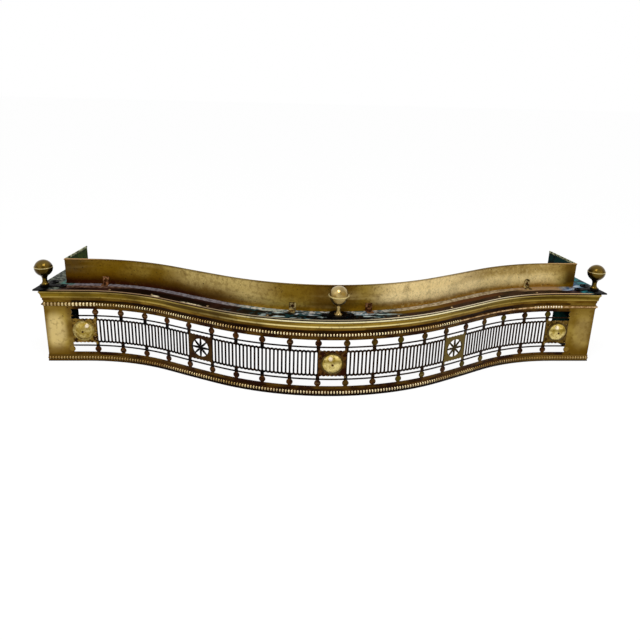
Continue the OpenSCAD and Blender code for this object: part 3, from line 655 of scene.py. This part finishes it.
# Turned balls: tarnish specks over them, painted shade underneath and on the sides, a painted
# highlight on top, and the seam rubbed pale
endBall = {
    "low": tint(66, 50, 16),
    "high": tint(102, 82, 34),
    "dull": tint(30, 20, 4),
    "glow": tint(122, 102, 54),
    "seam": (0.0422, 0.0434),  # above the plate
}
middleBall = {
    "low": tint(118, 94, 46),
    "high": tint(172, 150, 98),
    "dull": tint(84, 62, 20),
    "glow": tint(176, 156, 112),
    "seam": (0.0421, 0.0448),
}


def finialFinish(name, ball):
    dull = ball["dull"]
    seamLow, seamHigh = ball["seam"]
    finish = Finish(name)
    cloud = finish.noise(60, 3)
    fine = finish.noise(240, 3)
    colour = finish.blend(cloud.rise(0.35, 0.65), ball["low"], ball["high"])
    colour = finish.blend(fine.rise(0.58, 0.75) * 0.35, colour, dull)
    # painted shade on the underside and the sides, and a painted highlight on the top
    colour = finish.blend(finish.facingZ.fall(-0.4, 0.2) * 0.45, colour, dull)
    colour = finish.blend(abs(finish.facingX).rise(0.6, 1.0) * 0.75, colour, dull)
    colour = finish.blend(finish.facingZ.rise(0.4, 0.9) * 0.5, colour, ball["glow"])
    height = finish.z - plateTop
    seam = height.within(seamLow, seamHigh, 0.0002)
    groove = height.within(seamLow - 0.0014, seamLow, 0.0003)
    colour = finish.blend(groove * 0.7, colour, tint(46, 32, 10))
    colour = finish.blend(seam, colour, tint(214, 196, 136))
    return finish.done(colour, 0.18 + cloud * 0.12, 0.9 - seam * 0.3, finish.bump(fine, 0.0003))


# Marks on a boss, in metres from its middle: a band of painted dark reflection, a painted
# highlight (the glint) and painted shade round the foot of the dome (the rim)
bossMarks = {
    "reflectionBand": (0.003, 0.010, 0.002),
    "glint": (-0.004, 0.0125),
    "leftShift": 0.013,  # the left boss's glint is this much further right
    "glintReach": (0.002, 0.0055),
    "rim": (0.0186, 0.0200),
}


def bossFinish():
    marks = bossMarks
    finish = Finish("bossBrass")
    fine = finish.noise(300, 3)
    cloud = finish.noise(70, 3)
    colour = finish.blend(cloud.rise(0.35, 0.65), tint(160, 136, 60), tint(222, 202, 130))
    onLeft = finish.x.fall(-0.3, -0.2)
    across = finish.x - finish.x.rise(0.2, 0.3) * bossSide + onLeft * bossSide
    up = finish.z - plan["fretMiddle"]
    radius = (across ** 2 + up ** 2) ** 0.5
    # painted reflection: a dark band under the dome's crown, with a painted highlight beside it
    reflectionMask = up.within(*marks["reflectionBand"]) * (1 - onLeft * 0.6)
    colour = finish.blend(reflectionMask * 0.55, colour, tint(112, 92, 22))
    colour = finish.blend(onLeft * 0.35, colour, tint(112, 88, 22))
    glintX, glintZ = marks["glint"]
    besideGlint = across - glintX - onLeft * marks["leftShift"]
    fromGlint = (besideGlint ** 2 + (up - glintZ) ** 2) ** 0.5
    glint = fromGlint.fall(*marks["glintReach"])
    colour = finish.blend(glint * 0.8, colour, tint(248, 232, 204))
    colour = finish.blend(fine.rise(0.5, 0.68) * 0.65, colour, tint(96, 70, 18))
    # painted shade round the foot of the dome
    rim = radius.rise(*marks["rim"]) * (1 - onLeft * 0.6)
    colour = finish.blend(rim * 0.9, colour, tint(50, 30, 8))
    return finish.done(colour, 0.22 + fine * 0.16, 0.85, finish.bump(fine, 0.0004))


def smallFinish(name, low, high):
    finish = Finish(name)
    cloud = finish.noise(200, 3)
    colour = finish.blend(cloud.rise(0.35, 0.65), low, high)
    return finish.done(colour, 0.4, 0.7, finish.bump(cloud, 0.0003))


def roundelFinish():
    finish = Finish("roundelBrass")
    patch = finish.noise(9, 2)
    cloud = finish.noise(120, 3)
    colour = finish.blend(cloud.rise(0.38, 0.62), tint(36, 18, 8), tint(76, 46, 18))
    green = patch.rise(0.5, 0.6) * finish.x.rise(-0.1, 0.2)
    colour = finish.blend(green * 0.7, colour, tint(82, 74, 18))
    wornAndSheen = finish.noise(17, 1, shift=2).rise(0.52, 0.6) * 0.15
    colour = finish.blend(finish.side.rise(0.52, 0.53), colour, tint(124, 98, 42))
    height = abs(abs(finish.z - plan["fretMiddle"]) - plan["roundelHeight"])
    colour = finish.blend(wornAndSheen * height.fall(0.0008, 0.0018), colour, tint(190, 160, 110))
    return finish.done(colour, 0.4, 0.7, finish.bump(cloud, 0.0003))


def bracketFinish():
    finish = Finish("bracketBrass")
    cloud = finish.noise(150, 3)
    pink = finish.blend(cloud.rise(0.38, 0.62), tint(66, 36, 16), tint(168, 122, 84))
    olive = finish.blend(cloud.rise(0.38, 0.62), tint(66, 50, 18), tint(196, 174, 118))
    # the second and the last bracket are less red than the others
    yellow = finish.x.within(-0.2, 0.0, 0.02).most(finish.x.rise(0.3, 0.4))
    colour = finish.blend(yellow, pink, olive)
    return finish.done(colour, 0.36, 0.75, finish.bump(cloud, 0.0004))


panelBrass = panelFinish()
returnBrass = returnFinish()
corniceBrass = corniceFinish()
stripBrass = stripFinish()
beadBrass = beadFinish()
upstandBrass = upstandFinish()
upstandReturnBrass = upstandReturnFinish()
plateIron = plateFinish()
blackIron = ironFinish()
finialBrass = finialFinish("finialBrass", endBall)
middleFinialBrass = finialFinish("middleFinialBrass", middleBall)
bossBrass = bossFinish()
darkBrass = smallFinish("darkBrass", tint(34, 18, 8), tint(80, 52, 20))
rivetBrass = smallFinish("rivetBrass", tint(96, 74, 46), tint(160, 138, 104))
bracketBrass = bracketFinish()
roundelBrass = roundelFinish()

finishes = {
    "front_panel": panelBrass,
    "cornice": corniceBrass,
    "upper_bead_strip": stripBrass,
    "base_moulding": stripBrass,
    "base_rail": blackIron,
    "top_plate": plateIron,
    "plate_rivets": rivetBrass,
    "upstand": upstandBrass,
    "angle_brackets": bracketBrass,
    "bracket_screws": darkBrass,
    "centre_finial_pad": blackIron,
    "pad_rivets": blackIron,
    "centre_finial": middleFinialBrass,
    "centre_boss": bossBrass,
    "boss_pins": darkBrass,
}
pairFinishes = {
    "side_panel": returnBrass,
    "cornice": corniceBrass,
    "upper_bead_strip": stripBrass,
    "base_moulding": stripBrass,
    "base_rail": blackIron,
    "upstand": upstandReturnBrass,
    "finial_pad": blackIron,
    "finial": finialBrass,
    "boss": bossBrass,
}
for name, material in pairFinishes.items():
    finishes["left_" + name] = finishes["right_" + name] = material
for name, material in finishes.items():
    slots = nodes[name].data.materials
    for index in range(len(slots)):
        slots[index] = material
print("materials given to", len(finishes), "nodes")


# Lines of edges in one mesh, each a list of points
def chains(name, lines):
    mesh = bpy.data.meshes.new(name)
    points = []
    edges = []
    for line in lines:
        start = len(points)
        points.extend(line)
        edges.extend((start + i, start + i + 1) for i in range(len(line) - 1))
    mesh.from_pydata(points, edges, [])
    return addObject(name, mesh)


# A smooth object of a mesh under construction, to be copied along lines
def templateObject(name, mesh):
    bmesh.ops.recalc_face_normals(mesh, faces=mesh.faces)
    for face in mesh.faces:
        face.smooth = True
    data = bpy.data.meshes.new(name)
    mesh.to_mesh(data)
    mesh.free()
    return addObject(name, data)


# A turned shape round the y axis, whose profile is a list of (radius, y) with its front at -y
def turned(name, profile, segments):
    mesh = bmesh.new()
    rings = []
    for radius, y in profile:
        count = segments if radius else 1
        angles = [2 * math.pi * i / count for i in range(count)]
        rings.append([mesh.verts.new((radius * math.cos(angle), y, radius * math.sin(angle)))
                      for angle in angles])
    for one, two in zip(rings, rings[1:]):
        for i in range(segments):
            j = (i + 1) % segments
            loop = [one[i % len(one)], one[j % len(one)], two[j % len(two)], two[i % len(two)]]
            mesh.faces.new(list(dict.fromkeys(loop)))
    return templateObject(name, mesh)


def floatSocket(sockets, name):
    return next(socket for socket in sockets if socket.name == name and socket.type == "VALUE")


# Geometry Nodes tree that sets copies of a template along chains of edges
def alongTree():
    tree = bpy.data.node_groups.new("copiesAlong", "GeometryNodeTree")
    sockets = tree.interface
    sockets.new_socket("Geometry", in_out="OUTPUT", socket_type="NodeSocketGeometry")
    for name, kind in (("Geometry", "Geometry"), ("Pitch", "Float"), ("Least size", "Float"),
                       ("Template", "Object"), ("Material", "Material")):
        sockets.new_socket(name, in_out="INPUT", socket_type="NodeSocket" + kind)
    start = tree.nodes.new("NodeGroupInput")
    end = tree.nodes.new("NodeGroupOutput")
    curve = tree.nodes.new("GeometryNodeMeshToCurve")
    resample = tree.nodes.new("GeometryNodeResampleCurve")
    resample.mode = "LENGTH"
    points = tree.nodes.new("GeometryNodeCurveToPoints")
    points.mode = "EVALUATED"
    template = tree.nodes.new("GeometryNodeObjectInfo")
    align = tree.nodes.new("FunctionNodeAlignRotationToVector")
    align.axis = "X"
    align.pivot_axis = "Z"
    size = tree.nodes.new("FunctionNodeRandomValue")
    floatSocket(size.inputs, "Max").default_value = 1.0
    size.inputs["Seed"].default_value = 4
    copies = tree.nodes.new("GeometryNodeInstanceOnPoints")
    realize = tree.nodes.new("GeometryNodeRealizeInstances")
    paint = tree.nodes.new("GeometryNodeSetMaterial")
    link = tree.links.new
    link(start.outputs["Geometry"], curve.inputs["Mesh"])
    link(curve.outputs["Curve"], resample.inputs["Curve"])
    link(start.outputs["Pitch"], resample.inputs["Length"])
    link(resample.outputs["Curve"], points.inputs["Curve"])
    link(points.outputs["Points"], copies.inputs["Points"])
    link(points.outputs["Tangent"], align.inputs["Vector"])
    link(align.outputs["Rotation"], copies.inputs["Rotation"])
    link(start.outputs["Template"], template.inputs["Object"])
    link(template.outputs["Geometry"], copies.inputs["Instance"])
    link(start.outputs["Least size"], floatSocket(size.inputs, "Min"))
    link(floatSocket(size.outputs, "Value"), copies.inputs["Scale"])
    link(copies.outputs["Instances"], realize.inputs["Geometry"])
    link(realize.outputs["Geometry"], paint.inputs["Geometry"])
    link(start.outputs["Material"], paint.inputs["Material"])
    link(paint.outputs["Geometry"], end.inputs["Geometry"])
    return tree


copiesAlong = alongTree()


# Runs the tree on chains and keeps the result as a plain mesh on the root body
def repeated(name, lines, pitch, template, material, leastSize=1.0):
    carrier = chains(name + "Line", lines)
    modifier = carrier.modifiers.new("copies", "NODES")
    modifier.node_group = copiesAlong
    wanted = {"Pitch": pitch, "Least size": leastSize, "Template": template, "Material": material}
    for item in copiesAlong.interface.items_tree:
        if item.in_out == "INPUT" and item.name in wanted:
            modifier[item.identifier] = wanted[item.name]
    bpy.context.view_layer.update()
    evaluated = carrier.evaluated_get(bpy.context.evaluated_depsgraph_get())
    mesh = bpy.data.meshes.new_from_object(evaluated)
    carrier.modifiers.remove(modifier)
    bpy.data.objects.remove(carrier)
    bpy.data.objects.remove(template)
    piece = addObject(name, mesh)
    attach(piece, "root")
    print(name, len(mesh.polygons), "faces")


# Points at a height along the front or a return, between two distances along it
def frontLine(start, stop, out, height, step=0.003):
    count = max(2, math.ceil(abs(stop - start) / step))
    stations = [start + (stop - start) * i / count for i in range(count + 1)]
    return [(*frontPoint(s, out), height) for s in stations]


def returnLine(side, start, stop, out, height):
    return [(*returnPoint(side, start, out), height), (*returnPoint(side, stop, out), height)]


# Rows of tall beads over the rods of both strips
beads = {
    "size": (0.0025, 0.0028, 0.0032),  # half width, depth and height
    "lowerSize": (0.0025, 0.0028, 0.0036),
    "pitch": 0.0061,
    "wideSize": (0.0033, 0.0030, 0.0048),  # the upper strip's left end has larger beads
    "widePitch": 0.00745,
    "wideLength": 0.105,
    "out": 0.0010,
    "upperHeight": 0.1328,
    "lowerHeight": 0.0078,
    "rubbedFrom": 5.1,  # bays from the middle to where the upper strip's beads are rubbed away
    "kept": (8.9, 10.0),  # bays between which some are left
    "margin": 0.003,
    "leastSize": 0.92,
    "segments": 8,
    "rings": 6,
}


# Blender lists a sphere's faces in another order each run, so they are sorted by their place
placeOrder = Vector((1, 100, 10000))


def bead(name, size):
    mesh = bmesh.new()
    bmesh.ops.create_uvsphere(mesh, u_segments=beads["segments"], v_segments=beads["rings"],
                              radius=1)
    mesh.faces.sort(key=lambda face: face.calc_center_median().dot(placeOrder))
    bmesh.ops.scale(mesh, vec=size, verts=mesh.verts)
    return templateObject(name, mesh)


frontEnd = halfLength - beads["margin"]
returnEnd = plan["returnLength"] - beads["margin"]
wideEnd = -frontEnd + beads["wideLength"]
keptFrom, keptTo = beads["kept"]
beadPitch, beadOut, upper = beads["pitch"], beads["out"], beads["upperHeight"]
wideRows = [frontLine(-frontEnd, wideEnd, beadOut, upper)]
upperRows = [
    frontLine(wideEnd + beadPitch, beads["rubbedFrom"] * bay, beadOut, upper),
    frontLine(keptFrom * bay, keptTo * bay, beadOut, upper),
]
upperRows += [returnLine(side, beads["margin"], returnEnd, beadOut, upper) for side in (-1, 1)]
lowerRows = [frontLine(-frontEnd, frontEnd, beadOut, beads["lowerHeight"])]
repeated("wideBeads", wideRows, beads["widePitch"], bead("wideBead", beads["wideSize"]),
         beadBrass, beads["leastSize"])
repeated("upperBeads", upperRows, beadPitch, bead("bead", beads["size"]),
         beadBrass, beads["leastSize"])
repeated("lowerBeads", lowerRows, beadPitch, bead("bead", beads["lowerSize"]),
         beadBrass, beads["leastSize"])

# Discs struck with a ring and an eye, over the roundels and the half roundels of the plain ends
roundels = {
    "radius": 0.0060,
    "ringOuter": 0.0049,
    "ringInner": 0.0037,
    "ringFoot": 0.0030,
    "eyeFoot": 0.0020,
    "eye": 0.00112,
    "rise": 0.0008,
    "segments": 16,
    "spacing": 0.99,  # of a bay, so that a row's last disc isn't dropped
    "step": 0.002,
}


def roundelProfile():
    rise = roundels["rise"]
    ground = -rise * 0.4
    return [
        (roundels["radius"], 0),
        (roundels["radius"], -rise * 0.5),
        (roundels["ringOuter"], -rise),
        (roundels["ringInner"], -rise),
        (roundels["ringFoot"], ground),
        (roundels["eyeFoot"], ground),
        (roundels["eye"], -rise),
        (0, -rise * 1.2),
    ]


# The row of discs above the middle of the fret, or below it where level is -1
def roundelRow(step, level):
    edge = (step + 0.5) * bay
    height = plan["fretMiddle"] + level * plan["roundelHeight"]
    return frontLine(-edge, edge, 0, height, roundels["step"])


repeated("roundels", [roundelRow(9, 1), roundelRow(10, -1)], bay * roundels["spacing"],
         turned("roundel", roundelProfile(), roundels["segments"]), roundelBrass)


# Camera, from the fit to the photograph
camera = {
    "place": (-0.11953, -1.17408, 0.61980),  # from the middle of the panel's face, on the hearth
    "yaw": -0.06541,
    "pitch": 0.33978,
    "roll": 0.02781,
    "focal": 651.4 / 640,  # of the picture's width
    "shift": (0.01168, -0.03019),  # the object was set off the middle of its white ground
}


def makeCamera():
    data = bpy.data.cameras.new("camera")
    data.sensor_fit = "HORIZONTAL"
    data.lens = data.sensor_width * camera["focal"]
    data.shift_x, data.shift_y = camera["shift"]
    data.clip_start = 0.01
    item = addObject("camera", data)
    yaw, pitch, roll = camera["yaw"], camera["pitch"], camera["roll"]
    ahead = Vector((-math.sin(yaw) * math.cos(pitch), math.cos(yaw) * math.cos(pitch),
                    -math.sin(pitch)))
    right = Vector((math.cos(yaw), math.sin(yaw), 0))
    up = right.cross(ahead)
    across = math.cos(roll) * right + math.sin(roll) * up
    upward = math.cos(roll) * up - math.sin(roll) * right
    turn = Matrix((across, upward, -ahead)).transposed().to_4x4()
    place = Vector(camera["place"]) + Vector((0, frontY, 0))
    item.matrix_world = Matrix.Translation(place) @ turn
    bpy.context.scene.camera = item


makeCamera()

# Soft lamps: (name, place, size, watts)
lamps = [
    ("overhead", (-0.1, -0.7, 1.7), 0.5, 10),
    ("leftFront", (-1.5, -1.4, 1.2), 1.8, 7),
    ("rightFront", (1.6, -1.3, 1.2), 1.8, 7),
]
lampTarget = Vector((0, 0, 0.1))

# The world and the floor light the part less than they show themselves to the camera
studio = {
    "worldLight": 0.55,
    "worldSeen": 0.45,  # added where the camera or a mirror image sees the world
    "floorHalf": 12,
    "floorPaint": 0.86,
    "floorGlow": 1.08,
    "floorSeen": 0.85,  # share of the glow where the camera or a mirror image sees the floor
}


def makeLamps():
    for name, place, size, watts in lamps:
        data = bpy.data.lights.new(name, "AREA")
        data.size = size
        data.energy = watts
        item = addObject(name, data)
        item.location = place
        item.rotation_euler = (lampTarget - Vector(place)).to_track_quat("-Z", "Y").to_euler()


# 1 for rays that the camera sees, straight, mirrored or through glass, and 0 for the others
def seenMask(tree):
    path = tree.nodes.new("ShaderNodeLightPath")
    seen = Value(tree, path.outputs["Is Camera Ray"])
    seen = seen.most(Value(tree, path.outputs["Is Glossy Ray"]))
    return seen.most(Value(tree, path.outputs["Is Transmission Ray"]))


def makeWorld():
    world = bpy.data.worlds.new("studio")
    bpy.context.scene.world = world
    world.use_nodes = True
    tree = world.node_tree
    tree.nodes.clear()
    strength = studio["worldLight"] + seenMask(tree) * studio["worldSeen"]
    background = tree.nodes.new("ShaderNodeBackground")
    output = tree.nodes.new("ShaderNodeOutputWorld")
    background.inputs["Color"].default_value = (1, 1, 1, 1)
    tree.links.new(strength.socket, background.inputs["Strength"])
    tree.links.new(background.outputs["Background"], output.inputs["Surface"])


def makeFloor():
    half = studio["floorHalf"]
    paint = studio["floorPaint"]
    mesh = bpy.data.meshes.new("floor")
    mesh.from_pydata([(-half, -half, 0), (half, -half, 0), (half, half, 0), (-half, half, 0)],
                     [], [(0, 1, 2, 3)])
    floor = addObject("floor", mesh)
    material = bpy.data.materials.new("paleFloor")
    material.use_nodes = True
    tree = material.node_tree
    tree.nodes.clear()
    matt = tree.nodes.new("ShaderNodeBsdfDiffuse")
    matt.inputs["Color"].default_value = (paint, paint, paint, 1)
    glow = tree.nodes.new("ShaderNodeEmission")
    glow.inputs["Strength"].default_value = studio["floorGlow"]
    mix = tree.nodes.new("ShaderNodeMixShader")
    output = tree.nodes.new("ShaderNodeOutputMaterial")
    tree.links.new((seenMask(tree) * studio["floorSeen"]).socket, mix.inputs[0])
    tree.links.new(matt.outputs["BSDF"], mix.inputs[1])
    tree.links.new(glow.outputs["Emission"], mix.inputs[2])
    tree.links.new(mix.outputs["Shader"], output.inputs["Surface"])
    mesh.materials.append(material)


makeLamps()
makeWorld()
makeFloor()
bpy.context.scene.view_settings.view_transform = "Standard"
print("camera, lamps and floor ready")
